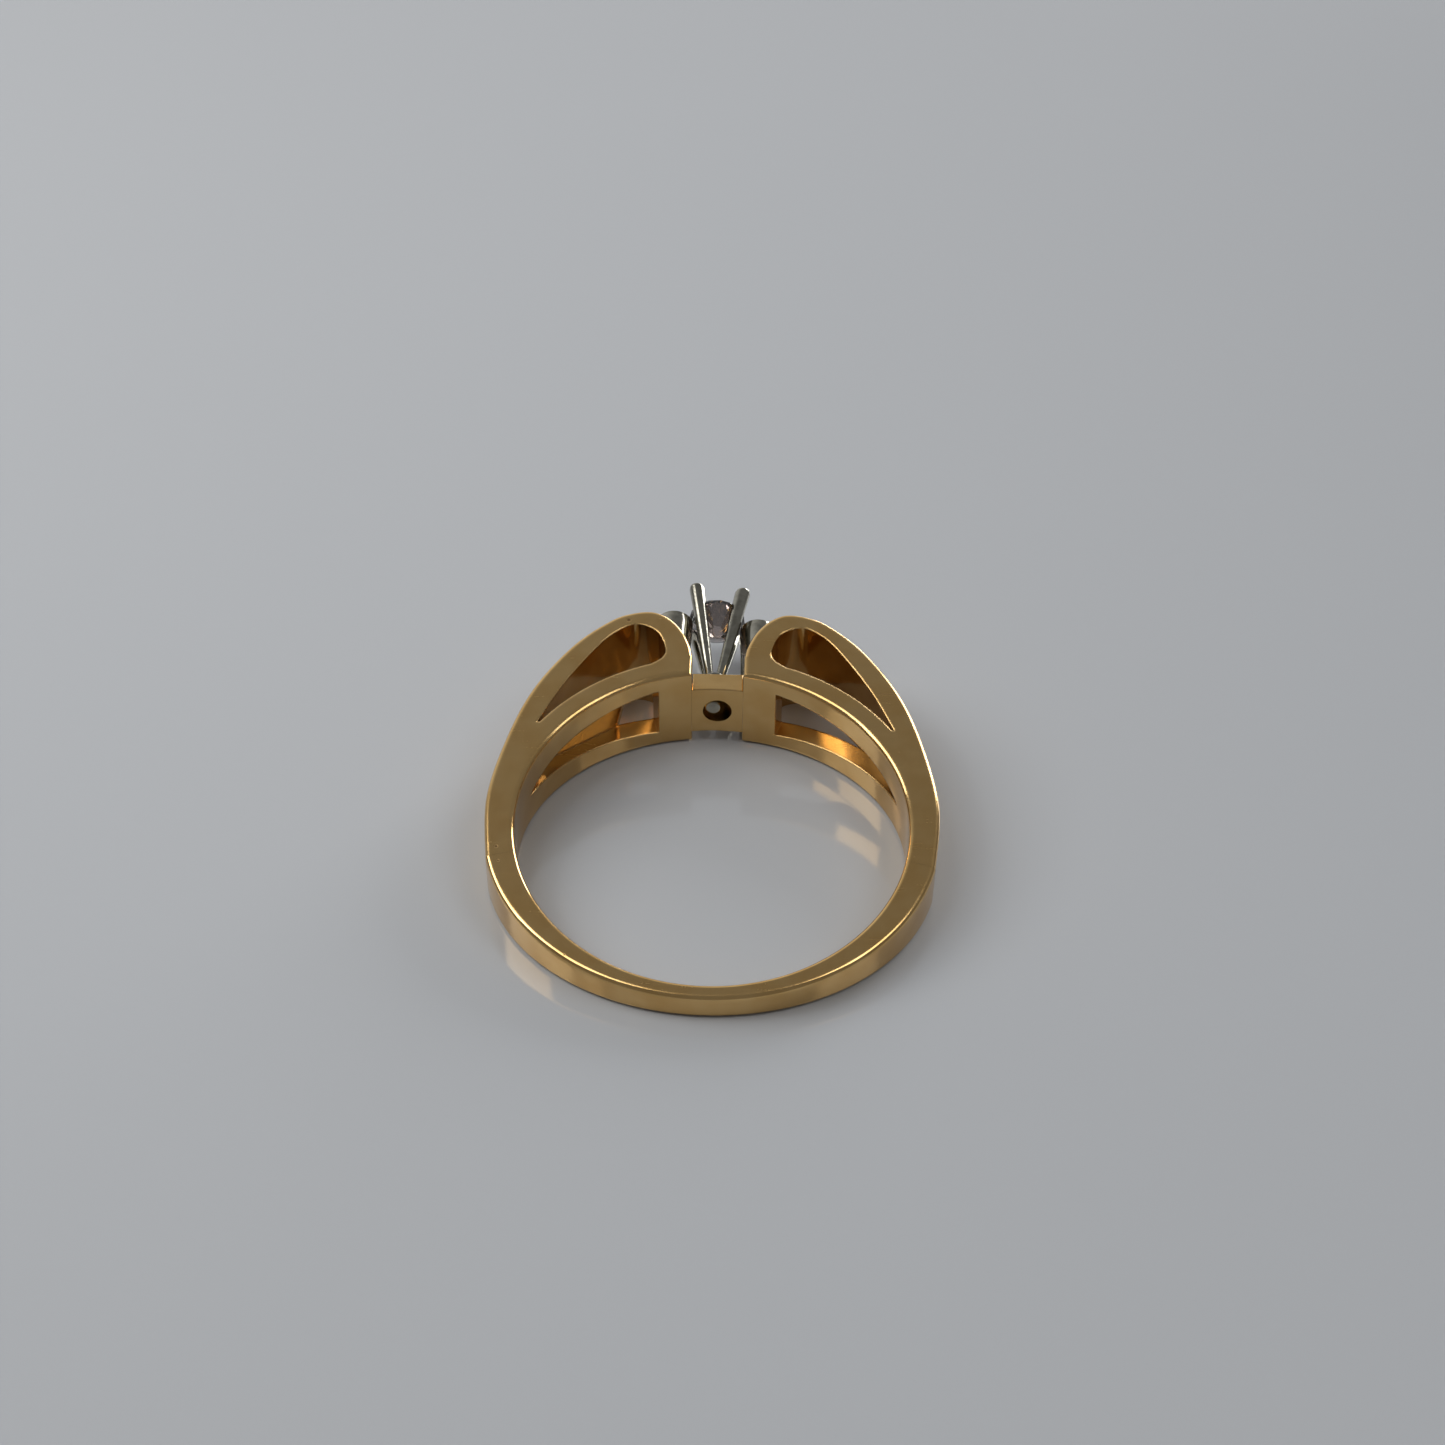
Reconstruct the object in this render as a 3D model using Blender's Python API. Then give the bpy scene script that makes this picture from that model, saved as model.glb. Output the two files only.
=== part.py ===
"""Engagement ring with open cathedral shoulders, a four-prong peg head and two small side stones.

The ring lies on its side. Every piece is first drawn in the ring's own coordinates, in millimetres:
u runs across the ring, v from the finger hole's centre towards the head, w along the finger axis.
One empty then lays the ring down on its lower side face.
"""

from math import asin, atan, cos, hypot, pi, radians, sin, sqrt

import bmesh
import bpy
from mathutils import Matrix, Vector

MM = 0.001

# Finger hole and lower shank
BORE_RADIUS = 8.25
SHANK_THICKNESS_BOTTOM = 0.72
SHANK_THICKNESS_SIDE = 1.30
SHANK_WIDTH_BOTTOM = 1.20
RING_WIDTH_AT_APEX = 4.85
SEAM_ANGLE = radians(-13.5)
EDGE_ROUND = 0.07

# Shoulders
APEX_RISE = 3.75
APEX_OFFSET = 3.0
VALLEY_HALF_WIDTH = 1.15
INNER_RAIL = 0.95
OUTER_RAIL = 0.88
VALLEY_WALL = 1.22
TEARDROP_TIP_ANGLE = radians(33.5)
INNER_WINDOW_TIP_ANGLE = radians(17.5)
INNER_WINDOW_WIDTH = 2.5
INNER_WINDOW_START = 2.6

# Block that carries the head
BLOCK_THICKNESS = 1.05
BLOCK_SET_BACK_UPPER = 1.10
BLOCK_SET_BACK_LOWER = 0.70
PEG_HOLE_RADIUS = 0.65
PEG_HOLE_DROP = 0.22

# Head
PEG_CLEARANCE = 0.055
PEG_RECESS = 0.25
CUP_HEIGHT = 0.90
CUP_RIM = 0.105
PRONG_BASE_WIDTH = 0.38
PRONG_TIP_WIDTH = 0.74
PRONG_BASE_SPACING = 0.46
PRONG_LENGTH = 5.20
PRONG_ABOVE_GIRDLE = 1.05
PRONG_INSET = 0.034
HEAD_OFFSET = -0.20
HEAD_DROP = 0.30
HEAD_TURN = radians(6.0)

# Stones and side collets
CENTRE_STONE_RADIUS = 1.33
SIDE_STONE_RADIUS = 0.72
SIDE_COLLET_TUCK = 0.225
COLLET_WALL = 0.15
COLLET_FOOT_RADIUS = 0.80
COLLET_FOOT_RISE = 0.65
COLLET_TOP_RISE = 1.90
COLLET_LIP = 0.10

# Gap left between pieces that are soldered or seated on each other
JOINT_GAP = 0.03

APEX_HEIGHT = BORE_RADIUS + APEX_RISE
OUTER_BOTTOM = BORE_RADIUS + SHANK_THICKNESS_BOTTOM
SIDE_SLOPE = (RING_WIDTH_AT_APEX - SHANK_WIDTH_BOTTOM) / 2.0 / (APEX_HEIGHT + OUTER_BOTTOM)
LAY_ANGLE = atan(SIDE_SLOPE)
BLOCK_TOP = BORE_RADIUS + BLOCK_THICKNESS
CUP_FOOT = BLOCK_TOP + JOINT_GAP
CUP_TOP = CUP_FOOT + CUP_HEIGHT
PRONG_FOOT = CUP_TOP + JOINT_GAP
PEG_RADIUS = PEG_HOLE_RADIUS - hypot(HEAD_OFFSET, HEAD_DROP - PEG_HOLE_DROP) - PEG_CLEARANCE
CUP_FOOT_RADIUS = VALLEY_HALF_WIDTH - abs(HEAD_OFFSET) - JOINT_GAP
PRONG_BASE_REACH = PRONG_BASE_SPACING / sqrt(2.0)
CUP_TOP_RADIUS = PRONG_BASE_REACH + PRONG_BASE_WIDTH / 2.0 + CUP_RIM
PRONG_TIP = PRONG_FOOT + PRONG_LENGTH
GIRDLE_HEIGHT = PRONG_TIP - PRONG_ABOVE_GIRDLE
PRONG_SPREAD = CENTRE_STONE_RADIUS - PRONG_INSET - PRONG_BASE_REACH
PRONG_TIP_REACH = PRONG_BASE_REACH + PRONG_SPREAD * PRONG_LENGTH / (GIRDLE_HEIGHT - PRONG_FOOT)
PRONG_TIP_SPACING = PRONG_TIP_REACH * sqrt(2.0)
SIDE_STONE_PLACE = CENTRE_STONE_RADIUS + SIDE_STONE_RADIUS + COLLET_WALL - SIDE_COLLET_TUCK
COLLET_FOOT = BLOCK_TOP + COLLET_FOOT_RISE
COLLET_TOP = APEX_HEIGHT + COLLET_TOP_RISE


def half_width(v):
    """Half the ring's width along the finger axis at height v."""
    return SHANK_WIDTH_BOTTOM / 2.0 + (v + OUTER_BOTTOM) * SIDE_SLOPE


def clear_scene():
    """Empty the scene of its default objects."""
    for item in list(bpy.data.objects):
        bpy.data.objects.remove(item, do_unlink=True)


def metal(name, colour, roughness):
    """Principled material of a polished metal."""
    material = bpy.data.materials.new(name)
    material.use_nodes = True
    shader = material.node_tree.nodes["Principled BSDF"]
    shader.inputs["Base Color"].default_value = (*colour, 1.0)
    shader.inputs["Metallic"].default_value = 1.0
    shader.inputs["Roughness"].default_value = roughness
    return material


def gem(name):
    """Principled material of a clear stone."""
    material = bpy.data.materials.new(name)
    material.use_nodes = True
    shader = material.node_tree.nodes["Principled BSDF"]
    shader.inputs["Base Color"].default_value = (0.86, 0.82, 0.80, 1.0)
    shader.inputs["Roughness"].default_value = 0.02
    shader.inputs["IOR"].default_value = 2.42
    shader.inputs["Transmission Weight"].default_value = 1.0
    return material


def polar(radius, angle):
    """Point of the ring plane at a radius and an angle from the u axis."""
    return (radius * cos(angle), radius * sin(angle))


def arc(radius, start, end, steps):
    """Points along an arc about the finger axis."""
    return [polar(radius, start + (end - start) * i / steps) for i in range(steps + 1)]


def smooth_curve(points, steps):
    """Points along a smooth curve through the given points."""
    result = []
    last = len(points) - 1
    for i in range(last):
        before = Vector(points[max(i - 1, 0)])
        first = Vector(points[i])
        second = Vector(points[i + 1])
        after = Vector(points[min(i + 2, last)])
        for k in range(steps):
            s = k / steps
            point = 0.5 * (2 * first + (second - before) * s)
            point += 0.5 * (2 * before - 5 * first + 4 * second - after) * s ** 2
            point += 0.5 * (3 * first - before - 3 * second + after) * s ** 3
            result.append((point.x, point.y))
    result.append(tuple(points[last]))
    return result


def mirrored(outline, side):
    """The outline, or its mirror image on the other side of the ring."""
    if side > 0:
        return list(outline)
    return [(-u, v) for u, v in reversed(outline)]


def finish_mesh(name, mesh_data, material, smooth_angle=30.0):
    """Make one named object of a bmesh, with faces pointing out and round stretches shaded smooth."""
    bmesh.ops.scale(mesh_data, vec=(MM, MM, MM), verts=mesh_data.verts)
    bmesh.ops.recalc_face_normals(mesh_data, faces=mesh_data.faces)
    mesh = bpy.data.meshes.new(name)
    mesh_data.to_mesh(mesh)
    mesh_data.free()
    if material:
        mesh.materials.append(material)
    mesh.shade_smooth()
    mesh.set_sharp_from_angle(angle=radians(smooth_angle))
    item = bpy.data.objects.new(name, mesh)
    bpy.context.scene.collection.objects.link(item)
    return item


def prism(outline, low, high):
    """Closed solid over an outline of the ring plane; low and high give w at each height v."""
    mesh_data = bmesh.new()
    bottom = [mesh_data.verts.new((u, v, low(v))) for u, v in outline]
    top = [mesh_data.verts.new((u, v, high(v))) for u, v in outline]
    count = len(outline)
    mesh_data.faces.new(bottom)
    mesh_data.faces.new(top)
    for i in range(count):
        k = (i + 1) % count
        mesh_data.faces.new((bottom[i], bottom[k], top[k], top[i]))
    return mesh_data


def add_cut(item, cutter):
    """Cut a guide solid out of an object."""
    cutter.hide_render = True
    cutter.display_type = "WIRE"
    modifier = item.modifiers.new(cutter.name, "BOOLEAN")
    modifier.operation = "DIFFERENCE"
    modifier.solver = "EXACT"
    modifier.object = cutter


def add_round_edges(item):
    """Narrow rounded edges along the sharp corners."""
    modifier = item.modifiers.new("round_edges", "BEVEL")
    modifier.width = EDGE_ROUND * MM
    modifier.segments = 1
    modifier.limit_method = "ANGLE"
    modifier.angle_limit = radians(50.0)
    modifier.use_clamp_overlap = True


def turned(profile, sides):
    """Closed solid turned about the v axis from a profile of (radius, v), listed from foot to top."""
    mesh_data = bmesh.new()
    rings = []
    for radius, v in profile:
        if radius == 0.0:
            rings.append([mesh_data.verts.new((0.0, v, 0.0))])
            continue
        turns = [2.0 * pi * i / sides for i in range(sides)]
        rings.append([mesh_data.verts.new((radius * cos(a), v, radius * sin(a))) for a in turns])
    for lower, upper in zip(rings, rings[1:]):
        for i in range(sides):
            k = (i + 1) % sides
            corners = [lower[i % len(lower)], lower[k % len(lower)]]
            corners += [upper[k % len(upper)], upper[i % len(upper)]]
            corners = [c for n, c in enumerate(corners) if c not in corners[:n]]
            mesh_data.faces.new(corners)
    for ring in (rings[0], rings[-1]):
        if len(ring) > 1:
            mesh_data.faces.new(ring)
    return mesh_data


def shank_radius(angle):
    """Outer radius of the lower shank, thin at the bottom and thick at the sides."""
    share = cos(angle) ** 2 / cos(SEAM_ANGLE) ** 2
    thickness = SHANK_THICKNESS_BOTTOM + (SHANK_THICKNESS_SIDE - SHANK_THICKNESS_BOTTOM) * share
    return BORE_RADIUS + thickness


def lower_shank(material):
    """Lower half of the band, between the two solder seams."""
    steps = 56
    trim = JOINT_GAP / 2.0 / BORE_RADIUS
    start = pi - SEAM_ANGLE + trim
    end = 2.0 * pi + SEAM_ANGLE - trim
    angles = [start + (end - start) * i / steps for i in range(steps + 1)]
    outline = [polar(shank_radius(a), a) for a in angles]
    outline += [polar(BORE_RADIUS, a) for a in reversed(angles)]
    item = finish_mesh("lower_shank", prism(outline, lambda v: -half_width(v), half_width), material)
    add_round_edges(item)
    return item


def shoulder_outer_curve(grow=0.0):
    """Outer edge of a shoulder, from its seam over the apex down to the valley beside the head."""
    side = BORE_RADIUS + SHANK_THICKNESS_SIDE
    seam = polar(side, SEAM_ANGLE)
    rise = APEX_RISE
    apex = (APEX_OFFSET, APEX_HEIGHT)
    knee = (VALLEY_HALF_WIDTH, BLOCK_TOP)
    points = [
        seam,
        (side + 0.02, BORE_RADIUS * 0.13),
        (BORE_RADIUS + 0.70, BORE_RADIUS + rise - 7.40),
        (BORE_RADIUS - 0.25, BORE_RADIUS + rise - 4.60),
        (APEX_OFFSET + 3.50, BORE_RADIUS + rise - 2.15),
        (APEX_OFFSET + 2.00, BORE_RADIUS + rise - 0.65),
        (APEX_OFFSET + 1.00, BORE_RADIUS + rise - 0.12),
        apex,
        (APEX_OFFSET - 0.78, BORE_RADIUS + rise - 0.42),
        (VALLEY_HALF_WIDTH + 0.50, BORE_RADIUS + rise - 1.15),
        (VALLEY_HALF_WIDTH + 0.14, BORE_RADIUS + rise - 2.00),
        knee,
    ]
    curve = smooth_curve(points, 6)
    if grow == 0.0:
        return curve
    grown = []
    for i, point in enumerate(curve):
        before = Vector(curve[max(i - 1, 0)])
        after = Vector(curve[min(i + 1, len(curve) - 1)])
        along = (after - before).normalized()
        grown.append((point[0] + along.y * grow, point[1] - along.x * grow))
    return grown


def shoulder_outline():
    """Side view of the right shoulder without its window."""
    trim = JOINT_GAP / 2.0 / BORE_RADIUS
    outer = shoulder_outer_curve()
    outer[0] = polar(BORE_RADIUS + SHANK_THICKNESS_SIDE, SEAM_ANGLE + trim)
    inner_end = pi / 2.0 - asin(VALLEY_HALF_WIDTH / BORE_RADIUS)
    inner = arc(BORE_RADIUS, inner_end, SEAM_ANGLE + trim, 30)
    return outer + inner


def teardrop_outline():
    """Window through the side of the shoulder, between the outer rail, the inner rail and the valley wall."""
    inner_radius = BORE_RADIUS + INNER_RAIL
    tip = polar(inner_radius + 0.10, TEARDROP_TIP_ANGLE)
    end_u = VALLEY_HALF_WIDTH + VALLEY_WALL
    foot_angle = pi / 2.0 - asin((end_u + 0.62) / inner_radius)
    top = (APEX_OFFSET + 0.78, APEX_HEIGHT - OUTER_RAIL)
    outer_points = [
        tip,
        (BORE_RADIUS - 1.42, APEX_HEIGHT - 4.72),
        (APEX_OFFSET + 2.72, APEX_HEIGHT - 2.78),
        (APEX_OFFSET + 1.80, APEX_HEIGHT - 1.52),
        top,
        (end_u + 0.42, APEX_HEIGHT - OUTER_RAIL - 0.42),
        (end_u, APEX_HEIGHT - OUTER_RAIL - 1.45),
        (end_u + 0.12, inner_radius * sin(foot_angle) + 0.42),
        polar(inner_radius, foot_angle),
    ]
    outline = smooth_curve(outer_points, 5)
    outline += arc(inner_radius, foot_angle, TEARDROP_TIP_ANGLE + radians(0.6), 12)[1:]
    return outline


def inner_window(side):
    """Cutter for the tapering window in the finger side of a shoulder."""
    head_end = pi / 2.0 - asin(INNER_WINDOW_START / BORE_RADIUS)
    steps = 18
    inside = BORE_RADIUS - 0.6
    beyond = BORE_RADIUS + INNER_RAIL + 0.35
    mesh_data = bmesh.new()
    rows = []
    for i in range(steps + 1):
        share = i / steps
        angle = INNER_WINDOW_TIP_ANGLE + (head_end - INNER_WINDOW_TIP_ANGLE) * share
        half = max(INNER_WINDOW_WIDTH / 2.0 * share ** 0.8, 0.04)
        depth = min(BORE_RADIUS + 0.25 + 4.0 * share, beyond)
        near = polar(inside, angle)
        far = polar(depth, angle)
        corners = ((near, -half), (near, half), (far, half), (far, -half))
        rows.append([mesh_data.verts.new((side * p[0], p[1], w)) for p, w in corners])
    for lower, upper in zip(rows, rows[1:]):
        for i in range(4):
            k = (i + 1) % 4
            mesh_data.faces.new((lower[i], lower[k], upper[k], upper[i]))
    mesh_data.faces.new(rows[0])
    mesh_data.faces.new(rows[-1])
    return mesh_data


def shoulder(name, side, material):
    """One open cathedral shoulder with its teardrop window and its finger-side window."""
    outline = mirrored(shoulder_outline(), side)
    item = finish_mesh(name, prism(outline, lambda v: -half_width(v), half_width), material)
    reach = RING_WIDTH_AT_APEX
    window = prism(mirrored(teardrop_outline(), side), lambda v: -reach, lambda v: reach)
    add_cut(item, finish_mesh(name + "_teardrop_cutter", window, None))
    add_cut(item, finish_mesh(name + "_window_cutter", inner_window(side), None))
    add_round_edges(item)
    return item


def peg_block(material):
    """Block between the shoulders that takes the head's peg, set back from both side faces."""
    half = VALLEY_HALF_WIDTH - JOINT_GAP
    reach = asin(half / BORE_RADIUS)
    outline = arc(BORE_RADIUS, pi / 2.0 + reach, pi / 2.0 - reach, 10)
    outline += [(half, BLOCK_TOP), (-half, BLOCK_TOP)]
    upper = half_width(BLOCK_TOP) - BLOCK_SET_BACK_UPPER
    lower = BLOCK_SET_BACK_LOWER - half_width(BLOCK_TOP)
    item = finish_mesh("peg_block", prism(outline, lambda v: lower, lambda v: upper), material)
    ends = [(PEG_HOLE_RADIUS, BORE_RADIUS - 1.0), (PEG_HOLE_RADIUS, BLOCK_TOP + 1.0)]
    drill = finish_mesh("peg_hole_cutter", turned(ends, 32), None)
    drill.location.z = -PEG_HOLE_DROP * MM
    add_cut(item, drill)
    add_round_edges(item)
    return item


def place_on_head(item, u=0.0):
    """Put a piece drawn about the v axis into the head, which sits slightly off centre and turned."""
    seat = Matrix.Translation((HEAD_OFFSET * MM, 0.0, -HEAD_DROP * MM))
    turn = Matrix.Rotation(HEAD_TURN, 4, "Y")
    item.matrix_world = seat @ turn @ Matrix.Translation((u * MM, 0.0, 0.0))
    return item


def head_peg(material):
    """Peg that passes into the block's hole, with the cup that the prongs stand on."""
    profile = [
        (PEG_RADIUS - 0.06, BORE_RADIUS + PEG_RECESS),
        (PEG_RADIUS, BORE_RADIUS + PEG_RECESS + 0.06),
        (PEG_RADIUS, CUP_FOOT),
        (CUP_FOOT_RADIUS, CUP_FOOT),
        (CUP_FOOT_RADIUS, CUP_FOOT + 0.18),
        (PEG_RADIUS + 0.10, CUP_FOOT + 0.42),
        (CUP_TOP_RADIUS, CUP_TOP - 0.14),
        (CUP_TOP_RADIUS, CUP_TOP),
    ]
    return place_on_head(finish_mesh("head_peg", turned(profile, 32), material))


def brilliant(radius, centre_v, grow=0.0):
    """Round brilliant with its table up, about the v axis; its girdle is at centre_v."""
    size = radius + grow
    crown = 0.32 * radius + grow
    pavilion = 0.86 * radius + grow
    girdle = 0.03 * radius + grow
    rings = [
        (8, 0.56 * size, centre_v + girdle + crown, 0.5),
        (8, 0.80 * size, centre_v + girdle + 0.60 * crown, 0.0),
        (16, size, centre_v + girdle, 0.0),
        (16, size, centre_v - girdle, 0.0),
        (8, 0.22 * size, centre_v - girdle - 0.80 * pavilion, 0.5),
    ]
    mesh_data = bmesh.new()
    for count, ring_radius, v, shift in rings:
        for i in range(count):
            angle = 2.0 * pi * (i + shift) / count
            mesh_data.verts.new((ring_radius * cos(angle), v, ring_radius * sin(angle)))
    mesh_data.verts.new((0.0, centre_v - girdle - pavilion, 0.0))
    result = bmesh.ops.convex_hull(mesh_data, input=list(mesh_data.verts))
    loose = [item for item in result["geom_unused"] if isinstance(item, bmesh.types.BMVert)]
    bmesh.ops.delete(mesh_data, geom=loose, context="VERTS")
    bmesh.ops.dissolve_limit(mesh_data, angle_limit=radians(0.5), verts=mesh_data.verts, edges=mesh_data.edges)
    return mesh_data


def prong(name, across, along, material):
    """Tapered prong wire, leaning outwards, notched for the centre stone's girdle."""
    mesh_data = bmesh.new()
    rows = []
    sides = 12
    stations = [(0.0, 1.0), (0.3, 1.0), (0.6, 1.0), (0.97, 1.0), (1.0, 0.82)]
    for share, trim in stations:
        v = PRONG_FOOT + PRONG_LENGTH * share
        spacing = PRONG_BASE_SPACING + (PRONG_TIP_SPACING - PRONG_BASE_SPACING) * share
        radius = (PRONG_BASE_WIDTH + (PRONG_TIP_WIDTH - PRONG_BASE_WIDTH) * share) / 2.0 * trim
        row = []
        for i in range(sides):
            angle = 2.0 * pi * i / sides
            u = across * spacing / 2.0 + radius * cos(angle)
            w = along * spacing / 2.0 + radius * sin(angle)
            row.append(mesh_data.verts.new((u, v, w)))
        rows.append(row)
    for lower, upper in zip(rows, rows[1:]):
        for i in range(sides):
            k = (i + 1) % sides
            mesh_data.faces.new((lower[i], lower[k], upper[k], upper[i]))
    mesh_data.faces.new(rows[0])
    mesh_data.faces.new(rows[-1])
    item = place_on_head(finish_mesh(name, mesh_data, material))
    seat = finish_mesh(name + "_seat_cutter", brilliant(CENTRE_STONE_RADIUS, GIRDLE_HEIGHT, JOINT_GAP), None)
    add_cut(item, place_on_head(seat))
    return item


def side_collet(name, side, material):
    """Small cone-shaped collet beside the head, its foot shaped to the top of the shoulder."""
    top_radius = SIDE_STONE_RADIUS + COLLET_WALL
    seat = COLLET_TOP - COLLET_LIP
    profile = [
        (0.0, COLLET_FOOT),
        (COLLET_FOOT_RADIUS, COLLET_FOOT),
        (COLLET_FOOT_RADIUS, APEX_HEIGHT + 0.25),
        (top_radius, COLLET_TOP - 0.45),
        (top_radius, COLLET_TOP),
        (SIDE_STONE_RADIUS + JOINT_GAP, COLLET_TOP),
        (SIDE_STONE_RADIUS + JOINT_GAP, seat - 0.06 - JOINT_GAP),
        (0.10, seat - 0.06 - 0.86 * SIDE_STONE_RADIUS - 2.0 * JOINT_GAP),
        (0.0, seat - 0.06 - 0.86 * SIDE_STONE_RADIUS - 2.0 * JOINT_GAP),
    ]
    item = place_on_head(finish_mesh(name, turned(profile, 32), material), side * SIDE_STONE_PLACE)
    roof = shoulder_outer_curve(JOINT_GAP)
    outline = roof + [(VALLEY_HALF_WIDTH, BORE_RADIUS), (BORE_RADIUS, 0.0)]
    reach = RING_WIDTH_AT_APEX
    foot = prism(mirrored(outline, side), lambda v: -reach, lambda v: reach)
    add_cut(item, finish_mesh(name + "_foot_cutter", foot, None))
    return item


def stone(name, radius, girdle_v, u, material):
    """A faceted stone in its seat."""
    return place_on_head(finish_mesh(name, brilliant(radius, girdle_v), material, 1.0), u)


def lay_down(pieces):
    """Lay the ring on its lower side face, centred over the origin."""
    frame = bpy.data.objects.new("ring_frame", None)
    bpy.context.scene.collection.objects.link(frame)
    tilt = Matrix.Rotation(LAY_ANGLE, 4, "X")
    bpy.context.view_layer.update()
    corners = []
    graph = bpy.context.evaluated_depsgraph_get()
    for piece in pieces:
        shape = piece.evaluated_get(graph)
        corners += [tilt @ piece.matrix_world @ vertex.co for vertex in shape.data.vertices]
    low = Vector([min(c[i] for c in corners) for i in range(3)])
    high = Vector([max(c[i] for c in corners) for i in range(3)])
    middle = (low + high) / 2.0
    for item in bpy.data.objects:
        if item is not frame:
            item.parent = frame
    frame.matrix_world = Matrix.Translation((-middle.x, -middle.y, -low.z)) @ tilt
    bpy.context.view_layer.update()


clear_scene()
yellow_gold = metal("yellow_gold", (0.83, 0.58, 0.30), 0.22)
white_gold = metal("white_gold", (0.78, 0.77, 0.74), 0.15)
diamond = gem("diamond")

pieces = [
    lower_shank(yellow_gold),
    shoulder("right_shoulder", 1, yellow_gold),
    shoulder("left_shoulder", -1, yellow_gold),
    peg_block(yellow_gold),
    head_peg(white_gold),
    stone("centre_stone", CENTRE_STONE_RADIUS, GIRDLE_HEIGHT, 0.0, diamond),
]
for prong_name, across, along in (
    ("upper_left_prong", -1, 1),
    ("upper_right_prong", 1, 1),
    ("lower_left_prong", -1, -1),
    ("lower_right_prong", 1, -1),
):
    pieces.append(prong(prong_name, across, along, white_gold))
for side_name, side in (("left", -1), ("right", 1)):
    girdle = COLLET_TOP - COLLET_LIP
    pieces.append(side_collet(side_name + "_collet", side, white_gold))
    place = side * SIDE_STONE_PLACE
    pieces.append(stone(side_name + "_side_stone", SIDE_STONE_RADIUS, girdle, place, diamond))
lay_down(pieces)
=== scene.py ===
"""Engagement ring lying on its side on a pale polished table."""

from math import asin, atan, atan2, cos, pi, radians, sin

import bpy
from mathutils import Matrix, Vector


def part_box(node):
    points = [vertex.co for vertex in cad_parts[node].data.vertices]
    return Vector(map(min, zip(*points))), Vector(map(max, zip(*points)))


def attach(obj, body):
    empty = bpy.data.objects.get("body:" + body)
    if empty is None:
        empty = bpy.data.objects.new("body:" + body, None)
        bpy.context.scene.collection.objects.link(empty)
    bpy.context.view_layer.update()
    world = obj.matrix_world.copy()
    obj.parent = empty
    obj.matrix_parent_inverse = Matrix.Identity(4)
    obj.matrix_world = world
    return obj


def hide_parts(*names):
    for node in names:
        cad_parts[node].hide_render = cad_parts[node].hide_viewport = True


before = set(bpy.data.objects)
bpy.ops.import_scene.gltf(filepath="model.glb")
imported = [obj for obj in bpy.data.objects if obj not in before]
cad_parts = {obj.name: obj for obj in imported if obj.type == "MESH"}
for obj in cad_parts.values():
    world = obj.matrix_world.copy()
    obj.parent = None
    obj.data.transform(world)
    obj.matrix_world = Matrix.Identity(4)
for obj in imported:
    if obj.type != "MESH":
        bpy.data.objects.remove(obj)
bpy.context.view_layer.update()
MM = 0.001

# ---------------------------------------------------------------- how the ring lies
# The ring lies on its lower side face. Its two side faces spread towards the head, so its middle plane
# leans by half of that spread. Pieces are drawn across the ring (u), towards the head (v) and along the
# finger axis (w), in millimetres, and this matrix then lays them down where the frame has them.
BORE_RADIUS = 8.25
BACK_THICKNESS = 0.72
BACK_WIDTH = 1.20
APEX_WIDTH = 4.85
APEX_HEIGHT = 12.0
back_edge = BORE_RADIUS + BACK_THICKNESS
side_slope = (APEX_WIDTH - BACK_WIDTH) / 2 / (APEX_HEIGHT + back_edge)
lean = atan(side_slope)


def half_width(v):
    """Half the ring's width along the finger axis."""
    return BACK_WIDTH / 2 + (v + back_edge) * side_slope


shank_low, shank_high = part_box("lower_shank")
hole_y = shank_low.y / MM + back_edge * cos(lean) + half_width(-back_edge) * sin(lean)
lay = Matrix.Translation((0, hole_y * MM, half_width(0) * cos(lean) * MM))
lay = lay @ Matrix.Rotation(lean, 4, "X") @ Matrix.Diagonal((MM, MM, MM, 1))

# ---------------------------------------------------------------- camera
# The camera looks over the back of the band towards the head, from about forty degrees above the table.
# It is aimed from the foot of the finger hole, by amounts to the right and upwards in millimetres.
CAMERA_ELEVATION = radians(38.9)
CAMERA_HEADING = radians(1.0)
CAMERA_ROLL = radians(0.8)
CAMERA_DISTANCE = 95.0
CAMERA_SCALE = 23.43
AIM_RIGHT = 0.47
AIM_UP = 6.03
PICTURE_SIDE = 1445
SENSOR_WIDTH = 36.0

heading = Matrix.Rotation(CAMERA_HEADING, 3, "Z")
forward = heading @ Vector((0, cos(CAMERA_ELEVATION), -sin(CAMERA_ELEVATION)))
right = heading @ Vector((1, 0, 0))
upward = heading @ Vector((0, sin(CAMERA_ELEVATION), cos(CAMERA_ELEVATION)))
level_right = right
right = right * cos(CAMERA_ROLL) + upward * sin(CAMERA_ROLL)
upward = upward * cos(CAMERA_ROLL) - level_right * sin(CAMERA_ROLL)
hole_foot = lay @ Vector((0, 0, -half_width(0)))
eye = hole_foot + (right * AIM_RIGHT + upward * AIM_UP - forward * CAMERA_DISTANCE) * MM
camera = bpy.data.objects.new("camera", bpy.data.cameras.new("camera"))
bpy.context.scene.collection.objects.link(camera)
turn = Matrix((right, upward, -forward)).transposed().to_4x4()
camera.matrix_world = Matrix.Translation(eye) @ turn
camera.data.sensor_width = SENSOR_WIDTH
camera.data.lens = SENSOR_WIDTH * CAMERA_SCALE * CAMERA_DISTANCE / PICTURE_SIDE
camera.data.clip_start = 0.002
camera.data.clip_end = 10.0
bpy.context.scene.camera = camera
bpy.context.scene.view_settings.view_transform = "Standard"

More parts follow.
